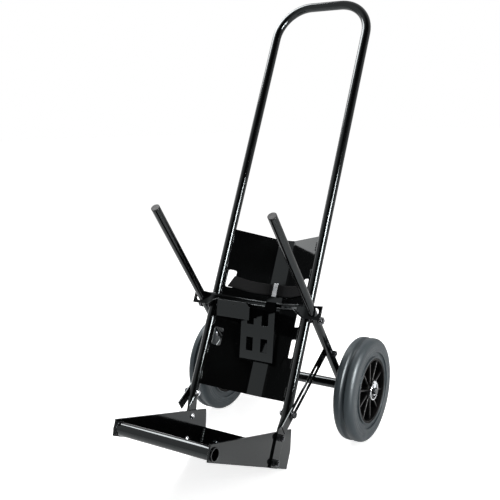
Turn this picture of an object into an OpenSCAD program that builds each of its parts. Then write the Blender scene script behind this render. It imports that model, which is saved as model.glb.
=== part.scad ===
// Two-wheeled cylinder trolley: a leaning tube frame with a trough-shaped back
// plate, a bolted foot platform and a pair of swinging wheel legs.

/* [Frame] */
// Angle that the rails lean back when the trolley stands
lean = 27.5; // [15:0.5:35]
// Distance between the centre lines of the two rails
rail_spacing = 252; // [220:1:320]
// Outside diameter of the rail tubes
tube_d = 22; // [18:1:26]
// Wall of all the tubes
tube_wall = 2; // [1.5:0.5:3]
// Distance along the rails from the platform's underside to the handle
handle_reach = 1141; // [900:1:1400]
// Centre-line radius of the two handle bends
handle_bend_r = 85; // [50:1:100]
// Thickness of the flattened rail feet
foot_t = 4; // [3:0.5:8]
// Width of the flattened rail feet
foot_w = 33; // [26:1:40]
// Height of the flat part of the rail feet
foot_h = 84; // [82:1:88]

/* [Back plate] */
// Height of the back plate's lower edge above the platform's underside
plate_z = 144; // [135:1:170]
// Height of the back plate
plate_h = 386; // [360:1:470]
// Depth of the trough behind the rails
trough_depth = 63; // [50:1:80]
// Width of the flat floor of the trough
trough_floor_w = 41; // [30:1:60]
// Thickness of the back plate
sheet_t = 2.5; // [1.5:0.5:4]
// Width of the strap slots
slot_w = 18; // [14:1:24]
// Height of the strap slots
slot_h = 43; // [36:1:52]
// Distance from one strap slot to the next
slot_pitch = 72; // [60:1:86]
// Height of the lowest slot's middle above the plate's lower edge
slot_first = 119; // [95:1:130]

/* [Platform] */
// Reach of the platform in front of the rails
platform_front = 267; // [220:1:330]
// Reach of the platform behind the rails
platform_back = 71; // [60:1:84]
// Height of the side plates at the front
side_front_h = 34; // [33:1:41]
// Height of the side plates at the back
side_back_h = 89; // [86:1:100]
// Thickness of the side plates
side_t = 4; // [3:0.5:5]
// Thickness of the platform floor
floor_t = 2.5; // [2:0.5:3.5]
// Height of the wall at the back of the floor
wall_h = 46; // [38:1:55]
// Diameter of the tube along the front edge
front_tube_d = 28; // [24:1:30]

/* [Wheel legs] */
// Height of the leg pivots above the platform's underside
pivot_z = 335.5; // [300:0.5:370]
// Slope of the legs from the ground
leg_slope = 55.7; // [52:0.1:59]
// Outside diameter of the leg tubes
leg_d = 20; // [18:1:22]
// Length of the legs from the pivot to the capped tip
arm_reach = 318; // [260:1:380]
// Space between a rail and the leg beside it
leg_gap = 2.4; // [2:0.1:4]
// Distance from the leg pivot to the stay's bolt
stay_pivot_reach = 120; // [110:1:145]
// Height of the stay's rail bolt above the platform's underside
stay_bolt_z = 121; // [115:1:130]
// Width of the stays
stay_w = 23; // [20:1:28]
// Thickness of the stays
stay_t = 2.5; // [2:0.1:2.6]
// Width of the slot in the stays
stay_slot_w = 8; // [7:0.5:10]
// Travel of the rail bolt in the slot
stay_slot_len = 140; // [120:1:150]
// Length of the stays past the rail bolt
stay_tail = 45; // [20:1:50]

/* [Wheels] */
// Outside diameter of the tyres
wheel_d = 250; // [220:1:300]
// Width of the tyres
tyre_w = 50; // [40:1:60]
// Diameter of the opening in the tyres
rim_d = 157; // [130:1:170]
// Number of ribs on each face of a rim
rib_count = 10; // [6:1:14]
// Space between a leg and the tyre beside it
wheel_gap = 20.5; // [16:0.5:30]
// Diameter of the axle rod
axle_d = 16; // [12:1:18]
// Outside diameter of the tube round the axle rod
axle_tube_d = 25; // [22:1:28]

/* [Strap and rack] */
// Width of the webbing
strap_w = 29; // [20:1:32]
// Thickness of the webbing
strap_t = 2; // [1:0.5:2.5]
// Width of the tool rack
rack_w = 90; // [76:1:96]
// Height of the tool rack
rack_h = 122; // [110:1:125]
// Lean of the rack and the tag plate against the rails
rack_tilt = 18.8; // [12:0.2:22]
// Width of the tag plate
tag_w = 90; // [70:1:95]
// Height of the tag plate
tag_h = 40; // [30:1:46]

/* [Hidden] */
$fn = 64;

// Small amount by which cutters pass through what they cut
cut = 1;
// Gap between parts that move past each other
play = 0.3;
// Radial clearance of a running fit
fit = 0.05;

// Frame
rail_x = rail_spacing / 2;
tube_r = tube_d / 2;
bore_r = tube_r - tube_wall;
side_x = rail_x - tube_r;
foot_x = side_x + side_t;
flare_h = 26;
flare_z = foot_h + flare_h;
hull_t = 0.5;

// Bolts of the platform feet, and of the stays and pivots
foot_bolt_d = 8;
foot_bolt_zs = [12, 66.5];
foot_head_d = 14.5;
stay_bolt_d = 8;
stay_neck_d = 4;
pivot_d = 10;
pivot_nut_across = 15;
spacer_wall = 4;
spacer_d = pivot_d + 2 * spacer_wall;
pin_d = 8;
nut_t = 6.5;
nut_across = 13;
thread_end = 2;
washer_t = 1.5;
head_t = 5;

// Trough: half floor, half mouth and slope of its sides
half_floor = trough_floor_w / 2;
mouth_gap = 2;
half_mouth = rail_x - tube_r - mouth_gap;
plate_lap = 8;
trough_slope = atan2(trough_depth, half_mouth - half_floor);
slot_edge = 2.5;
slot_x = half_mouth - slot_w / 2 - slot_edge;
slot_r = 4;
strap_lift = 1;
strap_z = plate_z + slot_first + 2 * slot_pitch - slot_h / 2 + strap_w / 2 + strap_lift;

// Platform
side_lead = 5;
side_setback = 17;
side_corner_h = 44;
floor_rise = 2;
front_tube_y = front_tube_d / 2 - platform_front;
front_tube_z = floor_t + front_tube_d / 2;
front_tube_end = 3;
floor_tuck = 4;
floor_front_y = front_tube_y + floor_tuck;
wall_inset = 4;
wall_y = platform_back - wall_inset;
foot_lift = platform_back * sin(lean);

// Legs, in the plane beside the rails
leg_r = leg_d / 2;
leg_x = rail_x + tube_r + leg_gap + leg_r;
leg_splay = 0.5;
leg_tilt = leg_slope - lean;
pivot_height = pivot_z * cos(lean) + foot_lift;
leg_rear = (pivot_height - wheel_d / 2) / sin(leg_slope);
leg_outer = leg_x + leg_r;
pin_nut_x = leg_outer + stay_pivot_reach * tan(leg_splay);
stay_gap = 0.5;
stay_x = rail_x + tube_r + stay_gap;
stay_pin_y = stay_pivot_reach * cos(leg_tilt);
stay_pin_z = pivot_z - stay_pivot_reach * sin(leg_tilt);
stay_len = norm([stay_pin_y, stay_pin_z - stay_bolt_z]);
stay_turn = atan2(stay_pin_y, stay_pin_z - stay_bolt_z);

// Cross bar: an arched channel with a drilled plate at each end
bar_h = 13;
bar_t = 3;
bar_flange = 8;
bar_lift = 11.5;
bar_z = pivot_z + bar_lift;
bar_gap = 3;
bar_end_x = side_x - bar_gap;
bar_dip = 30;
bar_r = (bar_end_x * bar_end_x + bar_dip * bar_dip) / (2 * bar_dip);
bar_half = asin(bar_end_x / bar_r);
ear_t = 4;
ear_clear = 11.5;
ear_y = tube_r + ear_clear;
ear_drop = 4;
ear_root = 6;
ear_rise = 29;
ear_gap = 6;
ear_lap = 6;
ear_slant = 14;
ear_lip = 12;
ear_inset = 2;
bar_mid = bar_dip - ear_y - ear_inset;

// Tag plate and rack hang below the bar
hang_t = 2.5;
tag_offset = 11;
tag_x = tag_w / 2 + tag_offset;
tag_reach = 29.7;
tag_chamfer = 10;
tag_hole_d = 2.5;
tag_hole_y = 8;
rack_x = 2.5;
rack_reach = 6;
rack_lift = 5;
rack_top = pivot_z + rack_lift;
neck_w = 26;
neck_inset = 15;
neck_x = rack_x + rack_w / 2 - neck_inset;
neck_depth = 10;
neck_lap = 4;
rack_hole_w = 18;
rack_hole_x = 19.5;
rack_holes = [[-1, 84, 17], [1, 84, 30], [-1, 21, 32], [1, 21, 32]];

// Wheels
wheel_r = wheel_d / 2;
wheel_x = leg_outer + wheel_gap + tyre_w / 2;
tread_r = 12;
channel_w = 13;
channel_depth = 3.5;
channel_r = (channel_w * channel_w / 4 + channel_depth * channel_depth) / (2 * channel_depth);
lip_t = 3;
bead_step = 3.5;
bead_h = 14;
hub_inset = 4;
hub_len = tyre_w - 2 * hub_inset;
hub_wall = 10;
hub_d = axle_d + 2 * hub_wall;
bush_wall = 4;
rim_wall = 5;
web_t = 6;
rib_t = 3;
rim_inset = 1;
rim_w = tyre_w - 2 * rim_inset;
rib_inset = 5;
rib_w = rim_w - 2 * rib_inset;
side_washer_t = 3;
side_washer_rim = 2;
tube_end_x = wheel_x - hub_len / 2 - play - side_washer_t;
outer_washer_rim = 9;
outer_washer_d = axle_d + 2 * outer_washer_rim;
outer_washer_x = wheel_x + hub_len / 2 + play;
linch_d = 5;
linch_proud = 3;
linch_end = axle_d / 2 + linch_proud;
linch_head_d = 11;
linch_seat = 2;
pin_x = outer_washer_x + washer_t + play + linch_head_d / 2;
rod_proud = 7;
rod_end_x = pin_x + rod_proud;
ring_clear = 13;
ring_r = axle_d / 2 + ring_clear;
ring_wire_d = 3;
ring_sag = ring_r - sqrt(ring_r * ring_r - linch_head_d * linch_head_d / 4);

black = [0.05, 0.05, 0.06];
steel = [0.75, 0.76, 0.78];
grey_rubber = [0.45, 0.48, 0.50];
plastic = [0.08, 0.08, 0.09];
webbing = [0.10, 0.10, 0.11];

// Places shapes that are drawn with upright rails: -Y is forward, and the
// platform's underside is at Z = 0
front_reach = platform_front * cos(lean);
back_reach = handle_reach * sin(lean) + tube_r;
mid_y = (back_reach - front_reach) / 2;
module leaned() {
    translate([0, -mid_y, foot_lift]) rotate([-lean, 0, 0]) children();
}

// Origin on the leg pivot, +Y along the leg to the axle
module on_leg() {
    leaned() translate([0, 0, pivot_z]) rotate([-leg_tilt, 0, 0]) children();
}

// Origin on the right leg's pivot, +Y along the leg's own centre line
module on_leg_line() {
    on_leg() translate([leg_x, 0, 0]) rotate([0, 0, -leg_splay]) children();
}

// Origin on the axle, upright
module on_axle() {
    on_leg() translate([0, leg_rear, 0]) rotate([leg_slope, 0, 0]) children();
}

module both_sides() {
    for (side = [-1, 1]) scale_x(side) children();
}

module scale_x(side) {
    if (side < 0) mirror([1, 0, 0]) children();
    else children();
}

// A cylinder along +X that starts at x
module rod_x(x, length, d) {
    translate([x, 0, 0]) rotate([0, 90, 0]) cylinder(h = length, d = d);
}

// A hexagon along +X that starts at x
module hex_x(x, thickness, across) {
    translate([x, 0, 0]) rotate([0, 90, 0]) cylinder(h = thickness, d = across / cos(30), $fn = 6);
}

// A nut along +X that starts at x
module nut_x(x, thickness, across, bore) {
    difference() {
        hex_x(x, thickness, across);
        rod_x(x - cut, thickness + 2 * cut, bore);
    }
}

// A washer along +X that starts at x
module washer_x(x, thickness, d, bore) {
    difference() {
        rod_x(x, thickness, d);
        rod_x(x - cut, thickness + 2 * cut, bore);
    }
}

// A domed bolt head that ends at x and bulges towards -X
module dome_x(x, d, height) {
    ball_r = (d * d / 4 + height * height) / (2 * height);
    intersection() {
        translate([x - height + ball_r, 0, 0]) sphere(r = ball_r);
        rod_x(x - height, height, d);
    }
}

// A rectangle with round corners, centred
module round_rect(width, height, r) {
    square([width - 2 * r, height], center = true);
    square([width, height - 2 * r], center = true);
    for (x = [-1, 1], y = [-1, 1]) translate([x * (width / 2 - r), y * (height / 2 - r)]) circle(r = r);
}

// Unit normal on the left of the run from a to b
function left_normal(a, b) = [a.y - b.y, b.x - a.x] / norm(b - a);

// Point beside path[i] at distance t on the left, mitred at the bends
function beside(path, i, t) = let(
        before = i > 0 ? left_normal(path[i - 1], path[i]) : left_normal(path[0], path[1]),
        after = i < len(path) - 1 ? left_normal(path[i], path[i + 1]) : before,
        half = before + after)
    path[i] + half * (2 * t / (half * half));

// A strip of thickness t on the left side of a path
module strip(path, t) {
    last = len(path) - 1;
    polygon(concat(path, [for (i = [0 : last]) beside(path, last - i, t)]));
}

// The U-shaped tube line, made at a given radius
module rail_line(r, bottom) {
    both_sides() {
        translate([rail_x, 0, bottom]) cylinder(h = handle_reach - handle_bend_r - bottom, r = r);
        translate([rail_x - handle_bend_r, 0, handle_reach - handle_bend_r]) rotate([90, 0, 0])
            rotate_extrude(angle = 90) translate([handle_bend_r, 0]) circle(r = r);
        translate([0, 0, handle_reach]) rotate([0, 90, 0]) cylinder(h = rail_x - handle_bend_r, r = r);
    }
}

module rail_frame() {
    color(black) leaned() difference() {
        union() {
            difference() {
                rail_line(tube_r, flare_z);
                rail_line(bore_r, flare_z + tube_d);
            }
            both_sides() {
                translate([foot_x, -foot_w / 2, 0]) cube([foot_t, foot_w, foot_h]);
                hull() {
                    translate([rail_x, 0, flare_z - hull_t]) cylinder(h = hull_t, r = tube_r, $fn = 32);
                    translate([foot_x, -foot_w / 2, foot_h]) cube([foot_t, foot_w, hull_t]);
                }
            }
        }
        both_sides() {
            for (z = foot_bolt_zs) translate([0, 0, z]) rod_x(foot_x - cut, foot_t + 2 * cut, foot_bolt_d);
            translate([0, 0, stay_bolt_z]) rod_x(side_x - cut, tube_d + 2 * cut, stay_bolt_d);
            translate([0, 0, pivot_z]) rod_x(side_x - cut, tube_d + 2 * cut, pivot_d);
        }
    }
}

// Front face of the trough in plan, from the left rail to the right one
trough_path = [
    [-half_mouth - plate_lap, -plate_lap * tan(trough_slope)],
    [-half_floor, trough_depth],
    [half_floor, trough_depth],
    [half_mouth + plate_lap, -plate_lap * tan(trough_slope)]];

module back_plate() {
    color(black) leaned() difference() {
        translate([0, 0, plate_z]) linear_extrude(plate_h) strip(trough_path, sheet_t);
        both_sides() {
            translate([rail_x, 0, plate_z - cut]) cylinder(h = plate_h + 2 * cut, r = tube_r);
            for (i = [0 : 2]) translate([slot_x, -tube_d, plate_z + slot_first + i * slot_pitch])
                rotate([-90, 0, 0]) linear_extrude(3 * tube_d) round_rect(slot_w, slot_h, slot_r);
        }
    }
}

// Right side plate
module foot_side() {
    color(black) leaned() difference() {
        translate([side_x, 0, 0]) rotate([90, 0, 90]) linear_extrude(side_t) polygon([
            [-platform_front, 0],
            [-platform_front - side_lead, side_front_h],
            [platform_back - side_setback, side_back_h],
            [platform_back, side_corner_h],
            [platform_back, 0]]);
        for (z = foot_bolt_zs) translate([0, 0, z]) rod_x(side_x - cut, side_t + 2 * cut, foot_bolt_d);
        translate([0, front_tube_y, front_tube_z]) rod_x(side_x - cut, side_t + 2 * cut, front_tube_d);
    }
}

module foot_side_left() { mirror([1, 0, 0]) foot_side(); }
module foot_side_right() { foot_side(); }

// Flat sheet between the side plates, from the front tube to the wall
module foot_floor() {
    color(black) leaned() difference() {
        translate([-side_x, floor_front_y, floor_rise]) cube([2 * side_x, wall_y - floor_front_y, floor_t]);
        translate([0, front_tube_y, front_tube_z]) rod_x(-rail_x, 2 * rail_x, front_tube_d);
    }
}

// Wall that stands on the back edge of the floor
module foot_wall() {
    base_z = floor_rise + floor_t;
    color(black) leaned() translate([-side_x, wall_y - floor_t, base_z])
        cube([2 * side_x, floor_t, wall_h - base_z]);
}

module foot_tube() {
    half = foot_x + front_tube_end;
    color(black) leaned() translate([0, front_tube_y, front_tube_z])
        washer_x(-half, 2 * half, front_tube_d, front_tube_d - 2 * tube_wall);
}

module foot_bolts() {
    end_x = foot_x + foot_t + washer_t + nut_t + thread_end;
    color(steel) leaned() both_sides() for (z = foot_bolt_zs) translate([0, 0, z]) {
        dome_x(side_x, foot_head_d, head_t);
        rod_x(side_x, end_x - side_x, foot_bolt_d);
    }
}

module foot_nuts() {
    start = foot_x + foot_t;
    color(steel) leaned() both_sides() for (z = foot_bolt_zs) translate([0, 0, z]) {
        washer_x(start, washer_t, 2 * foot_bolt_d, foot_bolt_d);
        nut_x(start + washer_t, nut_t, nut_across, foot_bolt_d);
    }
}

// Bolt through a rail, with a thin neck where the stay's slot slides over it
module stay_bolts() {
    rail_out = rail_x + tube_r;
    nut_start = stay_x + stay_t + play;
    color(steel) leaned() both_sides() translate([0, 0, stay_bolt_z]) {
        dome_x(side_x - washer_t, 2 * stay_bolt_d, head_t);
        rod_x(side_x - washer_t, washer_t, 2 * stay_bolt_d);
        rod_x(side_x, tube_d, stay_bolt_d);
        rod_x(rail_out, nut_start - rail_out, stay_neck_d);
        rod_x(nut_start, washer_t, 2 * stay_bolt_d);
        hex_x(nut_start + washer_t, nut_t, nut_across);
    }
}

// Stud fixed in a rail that carries the leg beside it, with a spacer between the two
module pivot_bolts() {
    rail_out = rail_x + tube_r;
    stud_start = rail_x - sqrt(tube_r * tube_r - pivot_d * pivot_d / 4);
    nut_start = leg_outer + play;
    color(steel) leaned() both_sides() translate([0, 0, pivot_z]) {
        rod_x(stud_start, nut_start + washer_t + nut_t + thread_end - stud_start, pivot_d);
        rod_x(rail_out, leg_gap - play, spacer_d);
        rod_x(nut_start, washer_t, spacer_d);
        nut_x(nut_start + washer_t, nut_t, pivot_nut_across, pivot_d);
    }
}

// Webbing from behind the plate, round the inner edge of the left slot and through the keeper,
// in plan along the face that lies on the plate
keeper_w = 12;
keeper_wall = 1.5;
keeper_rim = 1.5;
strap_valley_y = trough_depth - play - keeper_wall - play;
strap_tip = 8;
strap_end = keeper_w / 2 + strap_tip;
strap_turn = 2;
strap_turn_x = slot_x - slot_w / 2 + strap_turn;
strap_tail = 12;
strap_tail_x = strap_turn_x - strap_tail;
plate_depth = sheet_t / cos(trough_slope);
function panel_y(x) = (half_mouth - x) * tan(trough_slope);
strap_path = [
    [-strap_tail_x, panel_y(strap_tail_x) + plate_depth + play],
    [-strap_turn_x, panel_y(strap_turn_x) + plate_depth + play],
    [-strap_turn_x, panel_y(strap_turn_x) - play],
    [-half_floor + 1, strap_valley_y],
    [strap_end, strap_valley_y]];

module strap(layer) {
    shifted = [for (i = [0 : 4]) strap_path[i] - [0, i < 3 ? 0 : layer * (strap_t + play)]];
    color(webbing) leaned() translate([0, 0, strap_z - strap_w / 2]) linear_extrude(strap_w)
        strip(shifted, -strap_t);
}

module strap_left() { strap(0); }
module strap_right() { mirror([1, 0, 0]) strap(1); }

// Metal loop round both ends of the webbing
module strap_keeper() {
    depth = 2 * strap_t + 3 * play;
    height = strap_w + 2 * play;
    color(steel) leaned() translate([0, strap_valley_y + play - depth / 2, strap_z]) difference() {
        cube([keeper_w, depth + 2 * keeper_wall, height + 2 * keeper_rim], center = true);
        cube([keeper_w + 2 * cut, depth, height], center = true);
    }
}

// Right leg: a tube from the axle to the tip, with its rear end shaped to the axle tube
module leg() {
    color(black) difference() {
        on_leg_line() translate([0, leg_rear, 0]) rotate([90, 0, 0]) difference() {
            cylinder(h = leg_rear + arm_reach, r = leg_r);
            translate([0, 0, -cut]) cylinder(h = leg_rear + arm_reach + 2 * cut, r = leg_r - tube_wall);
        }
        on_leg() {
            translate([0, leg_rear, 0]) rod_x(leg_x - leg_d, 2 * leg_d, axle_tube_d);
            rod_x(leg_x - leg_d, 2 * leg_d, pivot_d + 2 * fit);
            translate([0, stay_pivot_reach, 0]) rod_x(leg_x - leg_d, 2 * leg_d, pin_d);
        }
    }
}

module leg_left() { mirror([1, 0, 0]) leg(); }
module leg_right() { leg(); }

// Plug with a flat rim that closes a leg's tip
module leg_cap() {
    rim_t = 3;
    plug = 14;
    color(plastic) on_leg_line() translate([0, -arm_reach, 0]) rotate([90, 0, 0]) {
        cylinder(h = rim_t, r = leg_r);
        translate([0, 0, -plug]) cylinder(h = plug, r = leg_r - tube_wall);
    }
}

module leg_cap_left() { mirror([1, 0, 0]) leg_cap(); }
module leg_cap_right() { leg_cap(); }

// Section of the channel: radius across, height up, open towards the front
module bar_section() {
    translate([bar_r, 0]) square([bar_t, bar_h]);
    for (z = [0, bar_h - bar_t]) translate([bar_r - bar_flange, z]) square([bar_flange + bar_t, bar_t]);
}

// Puts the arch's axis in front of the bar
module on_arch() {
    leaned() translate([0, bar_mid - bar_r, bar_z]) children();
}

module cross_bar() {
    color(black) difference() {
        union() {
            on_arch() rotate([0, 0, 90 - bar_half]) rotate_extrude(angle = 2 * bar_half) bar_section();
            leaned() both_sides() translate([0, -ear_y, 0]) rotate([90, 0, 0]) linear_extrude(ear_t) polygon([
                [bar_end_x - ear_lap, bar_z + bar_t / 2 - ear_root],
                [leg_x - ear_slant, pivot_z - ear_drop],
                [leg_outer + ear_lip, pivot_z - ear_drop],
                [leg_outer + ear_lip, pivot_z + ear_rise],
                [bar_end_x - ear_lap, bar_z + bar_h - bar_t / 2]]);
        }
        both_sides() on_leg_line() {
            for (x = [0, ear_gap]) translate([x, 0, 0]) rotate([90, 0, 0]) cylinder(h = 3 * leg_d, r = leg_r);
            translate([0, -3 * leg_d, -leg_r]) cube([ear_gap, 3 * leg_d, leg_d]);
        }
    }
}

// Origin at the middle of the tag plate's top edge, +Y up the plate's front face
module on_tag() {
    leaned() translate([-tag_x, -tag_reach, bar_z]) rotate([90 + rack_tilt, 0, 0]) children();
}

// Plain tag plate, bent from a tab that is fixed below the channel
module tag_plate() {
    path = [
        [bar_mid, bar_z],
        [-tag_reach, bar_z],
        [tag_h * sin(rack_tilt) - tag_reach, bar_z - tag_h * cos(rack_tilt)]];
    color(black) difference() {
        leaned() intersection() {
            translate([-tag_x - tag_w / 2, 0, 0]) rotate([90, 0, 90])
                linear_extrude(tag_w) strip(path, hang_t);
            translate([0, bar_mid - bar_r, bar_z - 2 * tag_h]) cylinder(h = 3 * tag_h, r = bar_r + bar_t);
        }
        on_tag() translate([tag_w / 2, 0, -hang_t]) rotate([0, 0, 45])
            cube([tag_chamfer * sqrt(2), tag_chamfer * sqrt(2), 2 * hang_t + 2 * cut], center = true);
        on_tag() translate([0, -tag_hole_y, -hang_t - cut]) cylinder(h = hang_t + 2 * cut, d = tag_hole_d);
    }
}

// Plate with four square holes that hangs from a neck in front of the channel
module tool_rack() {
    color(black) leaned() difference() {
        union() {
            translate([neck_x - neck_w / 2, -neck_depth, rack_top - neck_lap])
                cube([neck_w, neck_depth, bar_z + bar_h - rack_top + neck_lap]);
            translate([rack_x, -rack_reach, rack_top]) rotate([90 + rack_tilt, 0, 0])
                linear_extrude(hang_t) difference() {
                    translate([-rack_w / 2, -rack_h]) square([rack_w, rack_h]);
                    for (hole = rack_holes) translate([hole[0] * rack_hole_x, hole[1] - rack_h + hole[2] / 2])
                        square([rack_hole_w, hole[2]], center = true);
                }
        }
        translate([0, bar_mid - bar_r, bar_z]) difference() {
            cylinder(h = bar_h + cut, r = bar_r + bar_t);
            translate([0, 0, -cut]) cylinder(h = bar_h + 3 * cut, r = bar_r - bar_flange);
        }
    }
}

module axle_tube() {
    color(black) on_axle() washer_x(-tube_end_x, 2 * tube_end_x, axle_tube_d, axle_d);
}

module axle_rod() {
    color(steel) on_axle() difference() {
        rod_x(-rod_end_x, 2 * rod_end_x, axle_d);
        both_sides() translate([pin_x, 0, -axle_d]) cylinder(h = 2 * axle_d, d = linch_d);
    }
}

// Bolt that carries a stay on the leg
module stay_pins() {
    color(steel) on_leg() both_sides() translate([0, stay_pivot_reach, 0]) {
        dome_x(stay_x - play, 2 * pin_d, head_t);
        rod_x(stay_x - play, pin_nut_x + nut_t + thread_end - stay_x + play, pin_d);
        nut_x(pin_nut_x, nut_t, nut_across, pin_d);
    }
}

// Right stay: a slotted flat bar from the leg to the rail bolt
module stay() {
    slot_top = stay_slot_len - stay_len;
    color(black) leaned() translate([stay_x, stay_pin_y, stay_pin_z]) rotate([-stay_turn, 0, 0])
        rotate([90, 0, 90]) linear_extrude(stay_t) difference() {
            union() {
                translate([-stay_w / 2, -stay_len - stay_tail]) square([stay_w, stay_len + stay_tail]);
                circle(d = stay_w);
            }
            circle(d = pin_d + 2 * fit);
            translate([-stay_slot_w / 2, -stay_len]) square([stay_slot_w, stay_slot_len]);
            for (y = [-stay_len, slot_top]) translate([0, y]) circle(d = stay_slot_w);
        }
}

module stay_left() { mirror([1, 0, 0]) stay(); }
module stay_right() { stay(); }

// Section of the tyre: radius across, width up, with a round channel in the tread and a lip at the rim
module tyre_section() {
    half = tyre_w / 2;
    bead_r = rim_d / 2;
    shoulder = wheel_r - tread_r - bead_r;
    difference() {
        union() {
            translate([bead_r, bead_step - half]) square([shoulder, tyre_w - 2 * bead_step]);
            translate([bead_r, -half]) square([lip_t, tyre_w]);
            translate([bead_r + bead_h, -half]) square([shoulder - bead_h, tyre_w]);
            translate([bead_r, tread_r - half]) square([wheel_r - bead_r, tyre_w - 2 * tread_r]);
            for (y = [-1, 1]) translate([wheel_r - tread_r, y * (half - tread_r)]) circle(r = tread_r);
        }
        translate([wheel_r - channel_depth + channel_r, 0]) circle(r = channel_r);
    }
}

// A ring about the wheel's axis, from a section with its width along +X
module wheel_turned() {
    on_axle() translate([wheel_x, 0, 0]) rotate([0, 90, 0]) rotate_extrude($fn = 96) children();
}

module tyre() {
    color(grey_rubber) wheel_turned() tyre_section();
}

module tyre_left() { mirror([1, 0, 0]) tyre(); }
module tyre_right() { tyre(); }

// Rim: hub, web, ribs on both faces and the ring that carries the tyre
module rim() {
    ring_in = rim_d / 2 - rim_wall;
    hub_r = hub_d / 2;
    bush_r = axle_d / 2 + bush_wall;
    color(plastic) {
        wheel_turned() {
            translate([bush_r, -hub_len / 2]) square([hub_r - bush_r, hub_len]);
            translate([hub_r - cut, -web_t / 2]) square([ring_in + 2 * cut - hub_r, web_t]);
            translate([ring_in, -rim_w / 2]) square([rim_wall, rim_w]);
        }
        on_axle() translate([wheel_x, 0, 0]) for (i = [0 : rib_count - 1]) rotate([i * 360 / rib_count, 0, 0])
            translate([-rib_w / 2, -rib_t / 2, hub_r - cut]) cube([rib_w, rib_t, ring_in + 2 * cut - hub_r]);
    }
}

module rim_left() { mirror([1, 0, 0]) rim(); }
module rim_right() { rim(); }

module bush() {
    color(steel) wheel_turned()
        translate([axle_d / 2 + fit, -hub_len / 2]) square([bush_wall - fit, hub_len]);
}

module bush_left() { mirror([1, 0, 0]) bush(); }
module bush_right() { bush(); }

// Washers on the axle rod at both faces of each hub
module axle_washers() {
    color(steel) on_axle() both_sides() {
        washer_x(tube_end_x, side_washer_t, axle_tube_d + 2 * side_washer_rim, axle_d);
        washer_x(outer_washer_x, washer_t, outer_washer_d, axle_d);
    }
}

// Pin through the axle rod, with a head that carries the pull ring
module linch_pin() {
    head_z = axle_d / 2 + linch_seat;
    color(steel) on_axle() translate([pin_x, 0, 0]) {
        translate([0, 0, -linch_end]) cylinder(h = linch_end + head_z, d = linch_d);
        difference() {
            translate([0, 0, head_z]) cylinder(h = ring_r + linch_head_d / 2 - head_z, d = linch_head_d);
            translate([0, -linch_head_d, ring_r]) rotate([-90, 0, 0])
                cylinder(h = 2 * linch_head_d, d = ring_wire_d + 2 * (ring_sag + play));
        }
    }
}

module linch_pin_left() { mirror([1, 0, 0]) linch_pin(); }
module linch_pin_right() { linch_pin(); }

module linch_ring() {
    color(steel) on_axle() translate([pin_x, 0, 0]) rotate([0, 90, 0])
        rotate_extrude() translate([ring_r, 0]) circle(d = ring_wire_d);
}

module linch_ring_left() { mirror([1, 0, 0]) linch_ring(); }
module linch_ring_right() { linch_ring(); }

rail_frame();
back_plate();
foot_side_left();
foot_side_right();
foot_floor();
foot_wall();
foot_tube();
foot_bolts();
foot_nuts();
stay_bolts();
pivot_bolts();
strap_left();
strap_right();
strap_keeper();
leg_left();
leg_right();
leg_cap_left();
leg_cap_right();
cross_bar();
tag_plate();
tool_rack();
axle_tube();
axle_rod();
stay_pins();
stay_left();
stay_right();
tyre_left();
tyre_right();
rim_left();
rim_right();
bush_left();
bush_right();
axle_washers();
linch_pin_left();
linch_pin_right();
linch_ring_left();
linch_ring_right();
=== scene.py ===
# %% [markdown]
# A gas cylinder trolley: a black tube frame that leans back, a bolted foot platform, two legs with grey
# rubber wheels, and a strap across the trough that holds the cylinder. All the hard parts come from the
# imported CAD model, at their real size in metres. This lesson gives them their finishes, and makes by hand
# three things that the solids don't show: the woven strap, the flow of the cross bar into its end plates,
# and the ripples of the welds.

import math

import bmesh
import bpy
from mathutils import Matrix, Vector


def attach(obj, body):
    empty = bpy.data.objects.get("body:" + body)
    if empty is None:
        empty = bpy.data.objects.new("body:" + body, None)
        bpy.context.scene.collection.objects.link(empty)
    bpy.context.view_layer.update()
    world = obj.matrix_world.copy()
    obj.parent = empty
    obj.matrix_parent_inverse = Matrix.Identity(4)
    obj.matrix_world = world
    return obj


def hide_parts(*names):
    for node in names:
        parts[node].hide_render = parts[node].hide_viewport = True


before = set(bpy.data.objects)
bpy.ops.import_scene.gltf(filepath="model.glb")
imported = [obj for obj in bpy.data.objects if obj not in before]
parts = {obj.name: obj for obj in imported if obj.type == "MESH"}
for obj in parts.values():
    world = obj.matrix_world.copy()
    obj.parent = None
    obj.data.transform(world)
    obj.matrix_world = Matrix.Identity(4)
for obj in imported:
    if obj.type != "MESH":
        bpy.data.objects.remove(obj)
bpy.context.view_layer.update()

# %% [markdown]
# The photograph was taken from the right of the front, a little below the top of the handle, with a short
# telephoto lens. The camera could be moved by eye until the outlines meet, but a camera has only a place,
# a heading, a tilt, a roll and a lens, so those seven numbers were fitted to edges of the frame instead.

# %% Camera
LENS = 53.34
CAMERA_PLACE = (0.8705, -1.4255, 0.8351)
HEADING = math.radians(31.89)
TILT = math.radians(90.0 - 12.02)
ROLL = math.radians(-1.58)
scene = bpy.context.scene
scene.view_settings.view_transform = "Standard"
lens_data = bpy.data.cameras.new("studio_camera")
lens_data.sensor_width = 36.0
lens_data.lens = LENS
camera = bpy.data.objects.new("studio_camera", lens_data)
scene.collection.objects.link(camera)
facing = Matrix.Rotation(HEADING, 4, "Z") @ Matrix.Rotation(TILT, 4, "X") @ Matrix.Rotation(ROLL, 4, "Z")
camera.matrix_world = Matrix.Translation(CAMERA_PLACE) @ facing
scene.camera = camera
print("camera stands at", [round(v, 2) for v in camera.location])

# %% [markdown]
# Materials and the studio are made of nodes. Four small helpers keep that short: one places a node and
# fills its sockets, one joins two sockets, one works out a sum of sockets and numbers, and one opens a
# fresh material and hands back its main shader.


# %% Node helpers
def place(tree, kind, **sockets):
    made = tree.nodes.new(kind)
    for name, value in sockets.items():
        made.inputs[name.replace("_", " ")].default_value = value
    return made


def join(tree, source, target):
    tree.links.new(source, target)


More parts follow.
